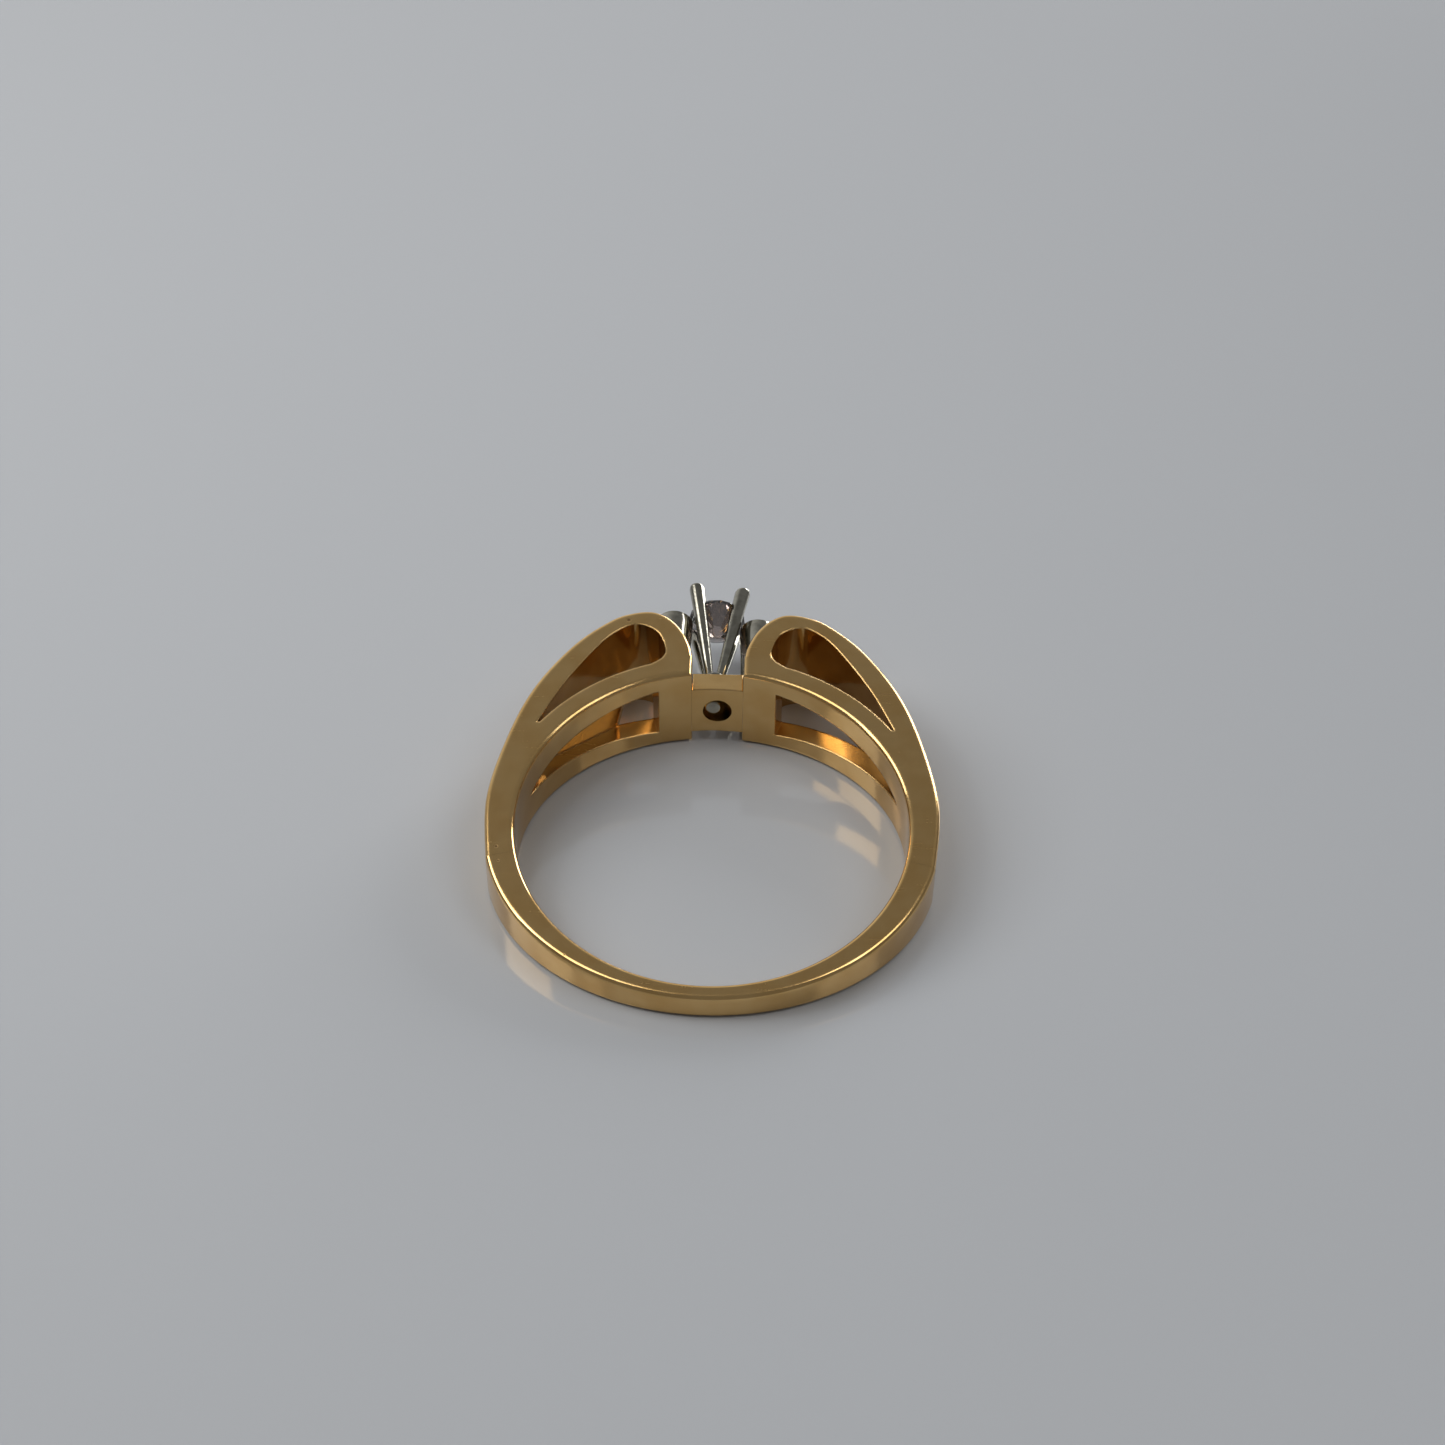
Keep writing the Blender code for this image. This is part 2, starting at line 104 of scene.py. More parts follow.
# ---------------------------------------------------------------- table and light
# A pale polished table top under several soft bright panels, with a dim room all around and a lighter
# wall behind.
TABLE_COLOUR = (0.465, 0.48, 0.502)
ROOM_LIGHT = (0.178, 0.180, 0.184)
BACK_WALL_LIGHT = (0.76, 0.77, 0.785)
BACK_WALL_DIRECTION = (-0.25, 0.95, 0.15)
BACK_WALL_EDGE = 0.62
TABLE_SIDE = 1.6
TABLE_SHIFT = 0.2
DAYLIGHT = (1.0, 0.99, 0.97)
COOL_DAYLIGHT = (0.97, 0.98, 1.0)


class Signal:
    """One socket of a finish, so that sums on it read as sums."""

    def __init__(self, finish, socket):
        self.finish = finish
        self.socket = socket

    def sum(self, operation, *terms):
        return self.finish.add("ShaderNodeMath", {"operation": operation}, dict(enumerate(terms)))

    def __add__(self, other):
        return self.sum("ADD", self, other)

    def __sub__(self, other):
        return self.sum("SUBTRACT", self, other)

    def __rsub__(self, other):
        return self.sum("SUBTRACT", other, self)

    def __mul__(self, other):
        return self.sum("MULTIPLY", self, other)

    def __abs__(self):
        return self.sum("ABSOLUTE", self)

    def clamp(self):
        return self.finish.add("ShaderNodeClamp", {}, {0: self})

    def ease(self, start, end):
        """0 below start, 1 above end, smooth between them."""
        settings = {"interpolation_type": "SMOOTHSTEP"}
        return self.finish.add("ShaderNodeMapRange", settings, {0: self, 1: start, 2: end, 3: 0.0, 4: 1.0})

    __radd__ = __add__
    __rmul__ = __mul__


class Finish:
    """A material under construction."""

    def __init__(self, name, **fixed):
        self.material = bpy.data.materials.new(name)
        self.material.use_nodes = True
        self.tree = self.material.node_tree
        self.shader = self.tree.nodes["Principled BSDF"]
        for socket, value in fixed.items():
            self.shader.inputs[socket.replace("_", " ")].default_value = value
        self.place = self.add("ShaderNodeTexCoord", output="Object")

    def add(self, kind, settings=None, inputs=None, output=0):
        """A node with its settings, and the values or links of its sockets."""
        node = self.tree.nodes.new(kind)
        for name, value in (settings or {}).items():
            setattr(node, name, value)
        for name, value in (inputs or {}).items():
            self.feed(node.inputs[name], value)
        return Signal(self, node.outputs[output])

    def feed(self, socket, value):
        if isinstance(value, Signal):
            self.tree.links.new(value.socket, socket)
        else:
            socket.default_value = value

    def set(self, name, value):
        self.feed(self.shader.inputs[name], value)

    def stretched(self, scale, turn=(0, 0, 0)):
        """The object's own coordinates, in units of 1/scale metres, turned."""
        return self.add("ShaderNodeMapping", {}, {"Vector": self.place, "Scale": scale, "Rotation": turn})

    def noise(self, where, detail):
        return self.add("ShaderNodeTexNoise", {}, {"Vector": where, "Scale": 1.0, "Detail": detail})

    def blend(self, share, first, second):
        """Between two colours."""
        inputs = {0: share, 6: first, 7: second}
        return self.add("ShaderNodeMix", {"data_type": "RGBA"}, inputs, 2)

    def near(self, point, radius):
        """1 at a point of the ring, given as (u, v, w) in millimetres, falling to 0 at the radius."""
        inputs = {0: self.place, 1: lay @ Vector(point)}
        spot = self.add("ShaderNodeVectorMath", {"operation": "DISTANCE"}, inputs, 1)
        return 1.0 - spot.ease(radius * 0.35 * MM, radius * MM)

    def softened(self, radius, where):
        """The surface's direction, with edges rounded by a radius in millimetres where the mask is 1."""
        plain = self.add("ShaderNodeNewGeometry", output="Normal")
        rounded = self.add("ShaderNodeBevel", {"samples": 6}, {"Radius": radius * MM})
        return self.add("ShaderNodeMix", {"data_type": "VECTOR"}, {0: where, 4: plain, 5: rounded}, 1)

    def bump(self, height, depth, base=None):
        """Raised and sunken by depth millimetres where height runs from 0 to 1."""
        inputs = {"Height": height, "Distance": depth * MM, "Strength": 1.0}
        if base:
            inputs["Normal"] = base
        self.set("Normal", self.add("ShaderNodeBump", {}, inputs))


polished_table = Finish("polished_table", Base_Color=(*TABLE_COLOUR, 1))
cloudiness = polished_table.noise(polished_table.stretched((35, 35, 35)), detail=3)
polished_table.set("Roughness", 0.06 + 0.07 * cloudiness)

bpy.ops.object.select_all(action="DESELECT")
bpy.ops.mesh.primitive_plane_add(size=TABLE_SIDE, location=(0, TABLE_SHIFT, 0))
table = bpy.context.active_object
table.name = "table"
table.data.materials.append(polished_table.material)


def soft_panel(name, place, width, height, brightness, colour):
    """A large soft light that faces the ring; its power follows from its size and brightness."""
    lamp = bpy.data.lights.new(name, "AREA")
    lamp.shape = "RECTANGLE"
    lamp.size = width
    lamp.size_y = height
    lamp.energy = brightness * pi * width * height
    lamp.color = colour
    item = bpy.data.objects.new(name, lamp)
    bpy.context.scene.collection.objects.link(item)
    item.matrix_world = Matrix.Translation(place) @ Vector(place).to_track_quat("Z", "Y").to_matrix().to_4x4()


soft_panel("left_window", (-0.175, 0.025, 0.15), 0.13, 0.12, 4.2, DAYLIGHT)
soft_panel("left_ceiling", (-0.105, -0.025, 0.215), 0.11, 0.11, 2.8, DAYLIGHT)
soft_panel("right_ceiling", (0.125, -0.030, 0.20), 0.10, 0.10, 2.6, DAYLIGHT)
soft_panel("back_window", (0.365, 0.48, 0.16), 0.22, 0.30, 8.5, COOL_DAYLIGHT)
soft_panel("low_window", (0.165, 0.575, 0.062), 0.17, 0.11, 8.0, COOL_DAYLIGHT)

room = bpy.data.worlds.new("room")
room.use_nodes = True
sky = room.node_tree
direction = sky.nodes.new("ShaderNodeTexCoord")
toward_wall = sky.nodes.new("ShaderNodeVectorMath")
toward_wall.operation = "DOT_PRODUCT"
toward_wall.inputs[1].default_value = Vector(BACK_WALL_DIRECTION).normalized()
nearness = sky.nodes.new("ShaderNodeMapRange")
nearness.interpolation_type = "SMOOTHSTEP"
nearness.inputs["From Min"].default_value = BACK_WALL_EDGE
walls = sky.nodes.new("ShaderNodeMix")
walls.data_type = "RGBA"
walls.inputs[6].default_value = (*ROOM_LIGHT, 1)
walls.inputs[7].default_value = (*BACK_WALL_LIGHT, 1)
sky.links.new(direction.outputs["Generated"], toward_wall.inputs[0])
sky.links.new(toward_wall.outputs["Value"], nearness.inputs["Value"])
sky.links.new(nearness.outputs["Result"], walls.inputs[0])
sky.links.new(walls.outputs[2], sky.nodes["Background"].inputs["Color"])
bpy.context.scene.world = room

# ---------------------------------------------------------------- yellow gold
# Fourteen karat yellow gold. The side faces are finished with fine paper and keep a satin grain, the
# bore and the outside are buffed, and years of wear have left fine scratches and a slight unevenness.
GOLD = (0.77, 0.51, 0.215, 1)
GOLD_DEEP = (0.68, 0.425, 0.16, 1)
# The four small pits listed below are painted this nearly black colour and sunk a little into the surface.
PIT_DARK_COLOUR = (0.10, 0.055, 0.025, 1)
RELIEF = 0.014
WINDOW_EDGE_ROUND = 0.13
PITS = (
    ((-8.87, -1.72, half_width(-1.72)), 0.10),
    ((-8.72, -2.45, half_width(-2.45)), 0.07),
    ((-4.10, 11.35, half_width(11.35)), 0.14),
    ((-5.65, -7.05, half_width(-7.05)), 0.05),
)

gold = Finish("yellow_gold", Metallic=1.0)
finger_axis = (lay.to_3x3() @ Vector((0, 0, 1))).normalized()
facing = gold.add("ShaderNodeNewGeometry", output="Normal")
facing = gold.add("ShaderNodeVectorMath", {"operation": "DOT_PRODUCT"}, {0: facing, 1: finger_axis}, 1)
satin = abs(facing).ease(0.82, 0.97)
swirl = gold.noise(gold.stretched((700, 700, 700)), detail=2)
grain_along = gold.noise(gold.stretched((9000, 700, 2500), (0, 0, radians(8))), detail=3)
grain_across = gold.noise(gold.stretched((900, 12000, 2500), (0, 0, radians(-14))), detail=2)
scratch = gold.noise(gold.stretched((500, 16000, 500), (0, 0, radians(37))), detail=1).ease(0.60, 0.72)
pits = gold.near(*PITS[0])
for point, radius in PITS[1:]:
    pits = pits + gold.near(point, radius)
pits = pits.clamp()
tone = gold.blend(swirl.ease(0.30, 0.75), GOLD, GOLD_DEEP)
# The colour of the four pits is painted nearly black.
tone = gold.blend(pits * 0.85, tone, PIT_DARK_COLOUR)
gold.set("Base Color", tone)
gold.set("Roughness", 0.09 + 0.03 * grain_along + 0.03 * scratch + satin * (0.09 + 0.08 * swirl) + 0.3 * pits)
grain = satin * (0.012 * grain_along + 0.006 * grain_across)
across = gold.add("ShaderNodeSeparateXYZ", {}, {0: gold.place})
along = gold.add("ShaderNodeSeparateXYZ", {}, {0: gold.place}, 1)
windows = abs(across).ease(1.6 * MM, 2.1 * MM) * along.ease(-3.0 * MM, -2.2 * MM)
gold.bump(grain * 0.3 + 0.8 * swirl - 0.5 * pits, RELIEF, gold.softened(WINDOW_EDGE_ROUND, windows))


# ---------------------------------------------------------------- lower shank
# The lower half of the band: a flat-sided strip, thin at the back and thicker at the sides, bent round
# and soldered to the shoulders just below the widest points. Its edges are lightly broken and buffed.
SEAM_ANGLE = radians(-13.5)
SIDE_THICKNESS = 1.30
HAIRLINE = 0.008
EDGE_ROUND = 0.23
ROUNDING_STEPS = (0, pi / 7, pi / 4, pi / 2.8, pi / 2)
MERGE_DISTANCE = 0.002
SHARP_ANGLE = radians(38)
SORTING_POINT = (2.3, 17.9, 9.1)
SHANK_STEPS = 150
rounded_rim = [(EDGE_ROUND * (1 - sin(a)), EDGE_ROUND * (1 - cos(a))) for a in ROUNDING_STEPS]


def polar(radius, angle):
    return (radius * cos(angle), radius * sin(angle))


def on_seam(point):
    """Whether a point lies on one of the two solder seams."""
    return abs(point[1] - Vector(point).length * sin(SEAM_ANGLE)) < 0.02


def drawn_in(outline, distance):
    """The outline moved inwards by a distance, except along the solder seams."""
    count = len(outline)
    area = sum(outline[i - 1][0] * outline[i][1] - outline[i][0] * outline[i - 1][1] for i in range(count))
    turn = 1 if area > 0 else -1
    result = []
    for i, point in enumerate(outline):
        sides = []
        for start, end in ((outline[i - 1], point), (point, outline[(i + 1) % count])):
            along = (Vector(end) - Vector(start)).normalized()
            seam = on_seam(start) and on_seam(end)
            sides.append((Vector((-along.y, along.x)) * turn, 0.0 if seam else distance))
        (first, first_move), (second, second_move) = sides
        corner = first.x * second.y - first.y * second.x
        if abs(corner) < 0.08:
            move = (first + second).normalized() * distance
        else:
            move_u = first_move * second.y - second_move * first.y
            move_v = second_move * first.x - first_move * second.x
            move = Vector((move_u, move_v)) / corner
        result.append((point[0] + move.x, point[1] + move.y))
    return result


def work_on(item):
    """Make a piece the only selected one and the active one."""
    bpy.ops.object.select_all(action="DESELECT")
    item.select_set(True)
    bpy.context.view_layer.objects.active = item


def in_order():
    """Sort the open mesh by distance from one point, so that each run of the script builds the same mesh."""
    bpy.context.scene.cursor.location = SORTING_POINT
    bpy.ops.mesh.select_all(action="SELECT")
    bpy.ops.mesh.sort_elements(type="CURSOR_DISTANCE", elements={"VERT", "EDGE", "FACE"})
    bpy.context.scene.cursor.location = (0, 0, 0)


def face_outwards(item):
    """Turn the faces of a new mesh outwards."""
    work_on(item)
    bpy.ops.object.mode_set(mode="EDIT")
    in_order()
    bpy.ops.mesh.normals_make_consistent(inside=False)
    bpy.ops.object.mode_set(mode="OBJECT")


def plate(name, outline, low, high, rounding=((0, 0),)):
    """A closed plate over an outline, from w = low(v) to w = high(v). Each step of the rounding gives how
    far the outline is drawn in and how far below the plate's face."""
    layers = [(draw_in, low, sink) for draw_in, sink in rounding]
    layers += [(draw_in, high, -sink) for draw_in, sink in reversed(rounding)]
    bpy.ops.object.select_all(action="DESELECT")
    bpy.ops.mesh.primitive_circle_add(vertices=len(outline), radius=1, fill_type="NGON", location=(0, 0, 0))
    item = bpy.context.active_object
    item.name = name
    item.data.name = name
    order = {(round(vertex.co.x, 5), round(vertex.co.y, 5)): i for i, vertex in enumerate(item.data.vertices)}
    bpy.ops.object.mode_set(mode="EDIT")
    bpy.ops.mesh.select_all(action="SELECT")
    for _ in layers[1:]:
        bpy.ops.mesh.extrude_region_move(TRANSFORM_OT_translate={"value": (0, 0, 1)})
    bpy.ops.object.mode_set(mode="OBJECT")
    rims = [drawn_in(outline, draw_in) for draw_in, face, sink in layers]
    for vertex in item.data.vertices:
        place = order[(round(vertex.co.x, 5), round(vertex.co.y, 5))]
        layer = round(vertex.co.z)
        u, v = rims[layer][place]
        face, sink = layers[layer][1:]
        vertex.co = (u, v, face(v) + sink)
    face_outwards(item)
    return item


def apply_all(item):
    """Apply every modifier of a piece."""
    work_on(item)
    for modifier in list(item.modifiers):
        bpy.ops.object.modifier_apply(modifier=modifier.name)


def cut(item, cutter):
    """Cut one solid out of another and throw the cutter away."""
    modifier = item.modifiers.new("cut", "BOOLEAN")
    modifier.object = cutter
    modifier.operation = "DIFFERENCE"
    apply_all(item)
    bpy.data.objects.remove(cutter, do_unlink=True)


def shade_evenly(item):
    """Smooth shading that stays flat on the flat faces."""
    work_on(item)
    bpy.ops.object.mode_set(mode="EDIT")
    bpy.ops.mesh.select_all(action="SELECT")
    bpy.ops.mesh.remove_doubles(threshold=MERGE_DISTANCE)
    in_order()
    bpy.ops.object.mode_set(mode="OBJECT")
    bpy.ops.object.shade_smooth_by_angle(angle=SHARP_ANGLE)
    weighted = item.modifiers.new("even_shading", "WEIGHTED_NORMAL")
    weighted.keep_sharp = True
    weighted.weight = 90
    apply_all(item)


def break_edges(item, width):
    """Round the sharp edges of a small piece."""
    work_on(item)
    bpy.ops.object.mode_set(mode="EDIT")
    bpy.ops.mesh.select_all(action="SELECT")
    bpy.ops.mesh.remove_doubles(threshold=MERGE_DISTANCE)
    in_order()
    bpy.ops.mesh.select_all(action="DESELECT")
    bpy.ops.mesh.edges_select_sharp(sharpness=SHARP_ANGLE)
    bpy.ops.object.mode_set(mode="OBJECT")
    weight = item.data.attributes.new("bevel_weight_edge", "FLOAT", "EDGE")
    for edge in item.data.edges:
        weight.data[edge.index].value = 1.0 if edge.select else 0.0
    bevel = item.modifiers.new("broken_edges", "BEVEL")
    bevel.limit_method = "WEIGHT"
    bevel.width = width
    bevel.segments = 3
    apply_all(item)
    shade_evenly(item)


def place_piece(item, finish, node):
    """Lay a finished piece down, give it its material and let it stand for its solid in the frame."""
    item.data.transform(lay)
    item.data.update()
    item.data.materials.clear()
    item.data.materials.append(finish.material)
    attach(item, "root")
    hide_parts(node)


def shank_radius(angle):
    """Outer radius of the band."""
    share = cos(angle) ** 2 / cos(SEAM_ANGLE) ** 2
    return BORE_RADIUS + BACK_THICKNESS + (SIDE_THICKNESS - BACK_THICKNESS) * share


trim = HAIRLINE / 2 / BORE_RADIUS
first = pi - SEAM_ANGLE + trim
sweep = pi + 2 * SEAM_ANGLE - 2 * trim
angles = [first + sweep * i / SHANK_STEPS for i in range(SHANK_STEPS + 1)]
outline = [polar(shank_radius(a), a) for a in angles]
outline += [polar(BORE_RADIUS, a) for a in reversed(angles)]
shank = plate("band_lower_half", outline, lambda v: -half_width(v), half_width, rounded_rim)
shade_evenly(shank)
place_piece(shank, gold, "lower_shank")

# ---------------------------------------------------------------- shoulders
# Two cast cathedral shoulders. Each is pierced from the side by a teardrop window and from the finger
# side by a long tapering window, so that light comes in behind the stones, and is then filed and buffed.
APEX_OFFSET = 3.0
VALLEY_HALF = 1.15
VALLEY_WALL = 1.22
BLOCK_THICKNESS = 1.05
INNER_RAIL = 0.95
OUTER_RAIL = 0.88
TEARDROP_TIP = radians(33.5)
WINDOW_TIP = radians(17.5)
WINDOW_WIDTH = 2.5
WINDOW_START = 2.6
block_top = BORE_RADIUS + BLOCK_THICKNESS
side_edge = BORE_RADIUS + SIDE_THICKNESS


def smooth_curve(points, steps):
    """Points along a smooth curve through the given ones."""
    result = []
    last = len(points) - 1
    for i in range(last):
        before, start, end, after = (Vector(points[min(max(k, 0), last)]) for k in (i - 1, i, i + 1, i + 2))
        for k in range(steps):
            s = k / steps
            bend = (2 * before - 5 * start + 4 * end - after) * s ** 2
            bend += (3 * start - before - 3 * end + after) * s ** 3
            result.append(tuple(0.5 * (2 * start + (end - before) * s + bend)))
    return result + [tuple(points[last])]


def arc(radius, start, end, steps):
    return [polar(radius, start + (end - start) * i / steps) for i in range(steps + 1)]


def roof_curve(steps, grow=0.0):
    """Outside of a shoulder, from its seam over the apex and down into the valley beside the head."""
    points = [
        polar(side_edge, SEAM_ANGLE + trim),
        (side_edge + 0.02, BORE_RADIUS * 0.13),
        (BORE_RADIUS + 0.70, APEX_HEIGHT - 7.40),
        (BORE_RADIUS - 0.25, APEX_HEIGHT - 4.60),
        (APEX_OFFSET + 3.50, APEX_HEIGHT - 2.15),
        (APEX_OFFSET + 2.00, APEX_HEIGHT - 0.65),
        (APEX_OFFSET + 1.00, APEX_HEIGHT - 0.12),
        (APEX_OFFSET, APEX_HEIGHT),
        (APEX_OFFSET - 0.78, APEX_HEIGHT - 0.42),
        (VALLEY_HALF + 0.50, APEX_HEIGHT - 1.15),
        (VALLEY_HALF + 0.14, APEX_HEIGHT - 2.00),
        (VALLEY_HALF, block_top),
    ]
    curve = smooth_curve(points, steps)
    if grow == 0.0:
        return curve
    grown = []
    for i, point in enumerate(curve):
        along = Vector(curve[min(i + 1, len(curve) - 1)]) - Vector(curve[max(i - 1, 0)])
        along.normalize()
        grown.append((point[0] + along.y * grow, point[1] - along.x * grow))
    return grown


def teardrop():
    """Outline of the window through the side."""
    inner = BORE_RADIUS + INNER_RAIL
    end_u = VALLEY_HALF + VALLEY_WALL
    foot = pi / 2 - asin((end_u + 0.62) / inner)
    points = [
        polar(inner + 0.10, TEARDROP_TIP),
        (BORE_RADIUS - 1.42, APEX_HEIGHT - 4.72),
        (APEX_OFFSET + 2.72, APEX_HEIGHT - 2.78),
        (APEX_OFFSET + 1.80, APEX_HEIGHT - 1.52),
        (APEX_OFFSET + 0.78, APEX_HEIGHT - OUTER_RAIL),
        (end_u + 0.42, APEX_HEIGHT - OUTER_RAIL - 0.42),
        (end_u, APEX_HEIGHT - OUTER_RAIL - 1.45),
        (end_u + 0.12, inner * sin(foot) + 0.42),
        polar(inner, foot),
    ]
    return smooth_curve(points, 10) + arc(inner, foot, TEARDROP_TIP + radians(0.6), 30)[1:]


def finger_window(side):
    """Cutter for the tapering window in the finger side, widest beside the head."""
    steps = 40
    head_end = pi / 2 - asin(WINDOW_START / BORE_RADIUS)
    last = 2 * steps + 1
    wedge = plate("finger_window", arc(1, 0, pi, last), lambda v: 0, lambda v: 1)
    for vertex in wedge.data.vertices:
        i = round(atan2(vertex.co.y, vertex.co.x) / pi * last)
        share = min(i, last - i) / steps
        angle = WINDOW_TIP + (head_end - WINDOW_TIP) * share
        half = max(WINDOW_WIDTH / 2 * share ** 0.8, 0.04) * (1 if i <= steps else -1)
        depth = min(BORE_RADIUS + 0.25 + 4.0 * share, BORE_RADIUS + INNER_RAIL + 0.35)
        u, v = polar(depth if vertex.co.z > 0.5 else BORE_RADIUS - 0.6, angle)
        vertex.co = (side * u, v, half)
    face_outwards(wedge)
    return wedge


def on_side(outline, side):
    return outline if side > 0 else [(-u, v) for u, v in outline]


for side, side_name in ((-1, "left"), (1, "right")):
    inner_end = pi / 2 - asin(VALLEY_HALF / BORE_RADIUS)
    outline = roof_curve(12) + arc(BORE_RADIUS, inner_end, SEAM_ANGLE + trim, 90)
    outline = on_side(outline, side)
    name = side_name + "_cathedral_shoulder"
    shoulder = plate(name, outline, lambda v: -half_width(v), half_width, rounded_rim)
    through = plate("teardrop", on_side(teardrop(), side), lambda v: -APEX_WIDTH, lambda v: APEX_WIDTH)
    cut(shoulder, through)
    cut(shoulder, finger_window(side))
    shade_evenly(shoulder)
    place_piece(shoulder, gold, side_name + "_shoulder")

# ---------------------------------------------------------------- peg block
# A small block with softly rounded rims, soldered between the shoulders and set back from both side
# faces. A drilled hole takes the peg of the head.
SET_BACK_UPPER = 1.10
SET_BACK_LOWER = 0.70
PEG_HOLE_RADIUS = 0.65
PEG_HOLE_DROP = 0.22
half = VALLEY_HALF - HAIRLINE
reach = asin(half / BORE_RADIUS)
block_upper = half_width(block_top) - SET_BACK_UPPER
block_lower = SET_BACK_LOWER - half_width(block_top)
outline = arc(BORE_RADIUS, pi / 2 + reach, pi / 2 - reach, 24) + [(half, block_top), (-half, block_top)]
soft_edge = [(0.06, 0), (0.02, 0.02), (0, 0.06)]
block = plate("peg_seat_block", outline, lambda v: block_lower, lambda v: block_upper, soft_edge)


def drawn(name, stations, sides=48, u=0.0):
    """A solid of round sections about the v axis: each station is (radius, v, u, w)."""
    bpy.ops.object.select_all(action="DESELECT")
    radius, v, shift_u, shift_w = stations[0]
    bpy.ops.mesh.primitive_circle_add(vertices=sides, radius=radius, fill_type="NGON", location=(0, 0, 0))
    item = bpy.context.active_object
    item.name = name
    item.data.name = name
    bpy.ops.object.mode_set(mode="EDIT")
    bpy.ops.mesh.select_all(action="SELECT")
    for (r0, v0, u0, w0), (r1, v1, u1, w1) in zip(stations, stations[1:]):
        step = (u1 - u0, w0 - w1, v1 - v0)
        bpy.ops.mesh.extrude_region_move(TRANSFORM_OT_translate={"value": step})
        centre = (u1 - shift_u, shift_w - w1, v1 - v)
        bpy.ops.transform.resize(value=(r1 / r0, r1 / r0, 1), center_override=centre)
    bpy.ops.object.mode_set(mode="OBJECT")
    face_outwards(item)
    upright = Matrix.Rotation(-pi / 2, 4, "X")
    item.data.transform(Matrix.Translation((shift_u + u, v, shift_w)) @ upright)
    return item


drill = drawn("drill", [
    (PEG_HOLE_RADIUS, BORE_RADIUS - 1, 0, -PEG_HOLE_DROP),
    (PEG_HOLE_RADIUS, block_top + 1, 0, -PEG_HOLE_DROP),
], 64)
cut(block, drill)
shade_evenly(block)
place_piece(block, gold, "peg_block")

# ---------------------------------------------------------------- white gold
# White gold is cooler and greyer than the band. It has a near mirror polish with a little haze, and fine
# file marks left from fitting the stones.
WHITE_GOLD = (0.45, 0.43, 0.36, 1)
WHITE_GOLD_DEEP = (0.31, 0.295, 0.24, 1)
FILE_MARK_DEPTH = 0.006

white = Finish("white_gold", Metallic=1.0)
haze = white.noise(white.stretched((2500, 2500, 2500)), detail=3)
file_marks = white.noise(white.stretched((3000, 22000, 3000), (0, 0, radians(20))), detail=2)
white.set("Base Color", white.blend(haze.ease(0.35, 0.75), WHITE_GOLD, WHITE_GOLD_DEEP))
white.set("Roughness", 0.07 + 0.10 * haze + 0.04 * file_marks)
white.bump(haze * 0.7 + file_marks * 0.3, FILE_MARK_DEPTH)

# ---------------------------------------------------------------- head
# The head stands on a peg and a small cup. Four claws of drawn wire lean outwards from the cup and are
# notched for the girdle. The head was soldered in by hand, a little off centre and slightly turned.
HEAD_OFFSET = -0.20
HEAD_DROP = 0.30
HEAD_TURN = radians(6.0)
PEG_RADIUS = 0.38
PEG_RECESS = 0.25
CUP_HEIGHT = 0.90
CUP_TOP_RADIUS = 0.62
CUP_FOOT_RADIUS = 0.92
CLAW_BASE_WIDTH = 0.38
CLAW_TIP_WIDTH = 0.74
CLAW_BASE_SPACING = 0.46
CLAW_TIP_SPACING = 2.18
CLAW_LENGTH = 5.20
CLAW_ABOVE_GIRDLE = 1.05
CLAW_GAP = 0.03
cup_foot = block_top + CLAW_GAP
cup_top = cup_foot + CUP_HEIGHT
claw_foot = cup_top + CLAW_GAP
girdle_height = claw_foot + CLAW_LENGTH - CLAW_ABOVE_GIRDLE
head_place = Matrix.Translation((HEAD_OFFSET, 0, -HEAD_DROP)) @ Matrix.Rotation(HEAD_TURN, 4, "Y")


def in_head(item):
    item.data.transform(head_place)
    item.data.update()
    return item


peg = drawn("head_peg_and_cup", [
    (PEG_RADIUS - 0.06, BORE_RADIUS + PEG_RECESS, 0, 0),
    (PEG_RADIUS, BORE_RADIUS + PEG_RECESS + 0.06, 0, 0),
    (PEG_RADIUS, cup_foot, 0, 0),
    (CUP_FOOT_RADIUS, cup_foot, 0, 0),
    (CUP_FOOT_RADIUS, cup_foot + 0.18, 0, 0),
    (PEG_RADIUS + 0.10, cup_foot + 0.42, 0, 0),
    (CUP_TOP_RADIUS, cup_top - 0.14, 0, 0),
    (CUP_TOP_RADIUS, cup_top, 0, 0),
])
break_edges(in_head(peg), 0.04)
place_piece(peg, white, "head_peg")

# ---------------------------------------------------------------- stones
# Round brilliants: an eight-sided table, star and kite facets on the crown, a thin girdle and a deep
# pavilion that comes to a small culet. The centre stone has a faint warm tint.
CENTRE_RADIUS = 1.33
SIDE_RADIUS = 0.72


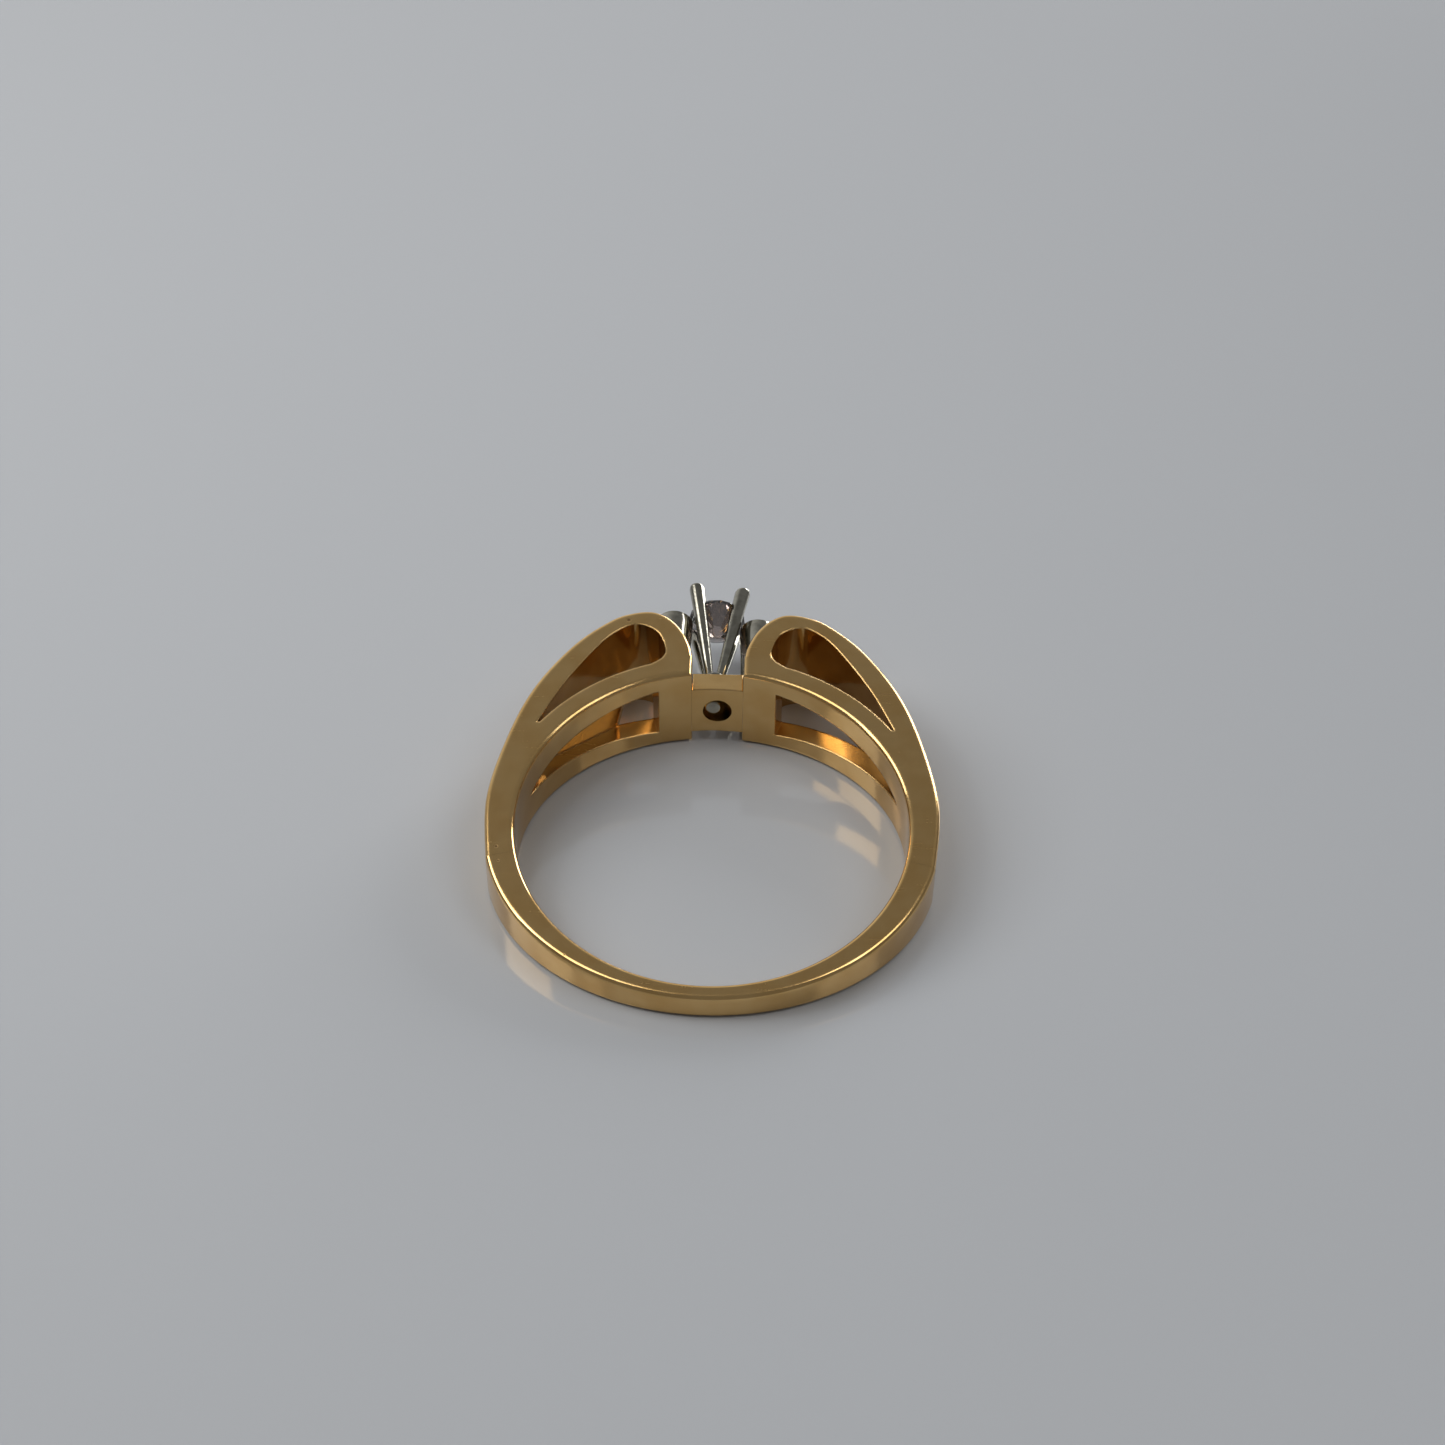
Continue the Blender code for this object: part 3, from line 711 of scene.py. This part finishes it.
def brilliant(name, radius, girdle_v, grow=0.0):
    """A brilliant about the v axis, table up."""
    size = radius + grow
    crown = 0.32 * radius + grow
    pavilion = 0.86 * radius + grow
    girdle = 0.03 * radius + grow
    rings = (
        (8, 0.56 * size, girdle + crown, pi / 8),
        (8, 0.80 * size, girdle + 0.60 * crown, 0.0),
        (16, size, girdle, 0.0),
        (16, size, -girdle, 0.0),
        (8, 0.22 * size, -girdle - 0.80 * pavilion, pi / 8),
        (8, 0.012 * size, -girdle - pavilion, 0.0),
    )
    bpy.ops.object.select_all(action="DESELECT")
    bpy.ops.mesh.primitive_circle_add(vertices=8, radius=rings[0][1], location=(0, 0, 0))
    item = bpy.context.active_object
    item.name = name
    item.data.name = name
    bpy.ops.object.mode_set(mode="EDIT")
    bpy.ops.mesh.select_all(action="SELECT")
    bpy.ops.mesh.delete(type="VERT")
    for count, ring_radius, height, turned in rings:
        bpy.ops.mesh.primitive_circle_add(
            vertices=count, radius=ring_radius, location=(0, 0, height), rotation=(0, 0, turned)
        )
    bpy.ops.mesh.select_all(action="SELECT")
    bpy.ops.mesh.convex_hull(join_triangles=True, face_threshold=radians(0.5), shape_threshold=radians(180))
    bpy.ops.object.mode_set(mode="OBJECT")
    face_outwards(item)
    bpy.ops.object.shade_flat()
    item.data.transform(head_place @ Matrix.Translation((0, girdle_v, 0)) @ Matrix.Rotation(-pi / 2, 4, "X"))
    return item


def stone_material(name, tint):
    """Clear stone with a trace of dust on its facets."""
    stone = Finish(name, Base_Color=(*tint, 1), Transmission_Weight=1.0, IOR=2.42, Metallic=0.0)
    film = stone.noise(stone.stretched((1800, 1800, 1800)), detail=3)
    stone.set("Roughness", 0.03 * film.ease(0.45, 0.8))
    return stone


warm_diamond = stone_material("centre_diamond", (0.45, 0.36, 0.33))
centre = brilliant("centre_brilliant", CENTRE_RADIUS, girdle_height)
place_piece(centre, warm_diamond, "centre_stone")

# ---------------------------------------------------------------- claws
# Each claw is one wire that widens towards its softly rounded tip. It is cut away where the stone sits
# against it. Each pair in its shape is a share of the length and a share of the full width there.
CLAW_SHAPE = ((0.0, 1.0), (0.25, 1.0), (0.5, 1.0), (0.75, 1.0), (0.965, 1.0), (0.99, 0.90), (1.0, 0.70))

for across, along, claw_name in (
    (-1, 1, "upper_left"),
    (1, 1, "upper_right"),
    (-1, -1, "lower_left"),
    (1, -1, "lower_right"),
):
    stations = []
    for share, narrowing in CLAW_SHAPE:
        spacing = CLAW_BASE_SPACING + (CLAW_TIP_SPACING - CLAW_BASE_SPACING) * share
        width = CLAW_BASE_WIDTH + (CLAW_TIP_WIDTH - CLAW_BASE_WIDTH) * share
        stations.append((
            width / 2 * narrowing, claw_foot + CLAW_LENGTH * share, across * spacing / 2, along * spacing / 2
        ))
    claw = in_head(drawn(claw_name + "_claw", stations, 32))
    cut(claw, brilliant("seat", CENTRE_RADIUS, girdle_height, 0.02))
    break_edges(claw, 0.035)
    place_piece(claw, white, claw_name + "_prong")

# ---------------------------------------------------------------- side collets and stones
# A small cone-shaped collet stands on each shoulder beside the head, its foot filed to the shoulder's
# curve and its lip pushed over a little brilliant.
SIDE_SPACING = 3.95
COLLET_WALL = 0.15
COLLET_FOOT = 0.80
COLLET_FOOT_RISE = 0.65
COLLET_RISE = 1.90
COLLET_LIP = 0.10
SEAT_GAP = 0.03
collet_top = APEX_HEIGHT + COLLET_RISE
clear_diamond = stone_material("side_diamond", (0.66, 0.70, 0.64))
for side, side_name in ((-1, "left"), (1, "right")):
    top = SIDE_RADIUS + COLLET_WALL
    hollow = SIDE_RADIUS + SEAT_GAP
    seat = collet_top - COLLET_LIP - 0.06
    collet = drawn(side_name + "_side_collet", [
        (COLLET_FOOT, block_top + COLLET_FOOT_RISE, 0, 0),
        (COLLET_FOOT, APEX_HEIGHT + 0.25, 0, 0),
        (top, collet_top - 0.45, 0, 0),
        (top, collet_top, 0, 0),
        (hollow, collet_top, 0, 0),
        (hollow, seat - SEAT_GAP, 0, 0),
        (0.10, seat - 0.86 * SIDE_RADIUS - 2 * SEAT_GAP, 0, 0),
    ], 48, side * SIDE_SPACING / 2)
    in_head(collet)
    foot = roof_curve(12, 0.01) + [(VALLEY_HALF, BORE_RADIUS), (BORE_RADIUS, 0.0)]
    cut(collet, plate("shoulder_shape", on_side(foot, side), lambda v: -APEX_WIDTH, lambda v: APEX_WIDTH))
    break_edges(collet, 0.04)
    place_piece(collet, white, side_name + "_collet")
    small = brilliant(side_name + "_side_brilliant", SIDE_RADIUS, collet_top - COLLET_LIP)
    aside = Matrix.Translation((side * SIDE_SPACING / 2, 0, 0))
    small.data.transform(head_place @ aside @ head_place.inverted())
    place_piece(small, clear_diamond, side_name + "_side_stone")
